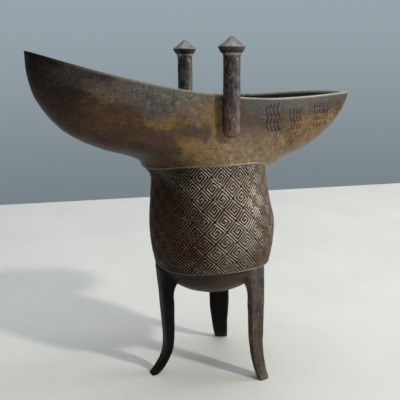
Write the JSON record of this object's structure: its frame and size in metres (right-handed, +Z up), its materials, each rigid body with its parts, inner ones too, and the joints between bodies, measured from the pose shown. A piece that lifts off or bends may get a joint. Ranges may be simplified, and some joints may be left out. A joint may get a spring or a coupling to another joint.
{
  "type": "jue wine vessel",
  "caption": "Cast bronze tripod wine cup of archaic form, with a long open spout, a pointed tail, capped rim posts and a lozenge spiral diaper round the belly.",
  "frame": {"origin": "middle of the vessel's length and width, on the plane of its three soles", "axes": "+Z up along the belly, +X from the spout to the tail, +Y to the left of someone who looks from the spout to the tail"},
  "size_m": [0.1575, 0.0672, 0.16],
  "materials": {
    "bronze": "old cast bronze with a dark brown patina, worn ochre patches, light specks and bright worn edges"
  },
  "bodies": {
    "root": {"jue_vessel": "bronze"}
  },
  "joints": []
}
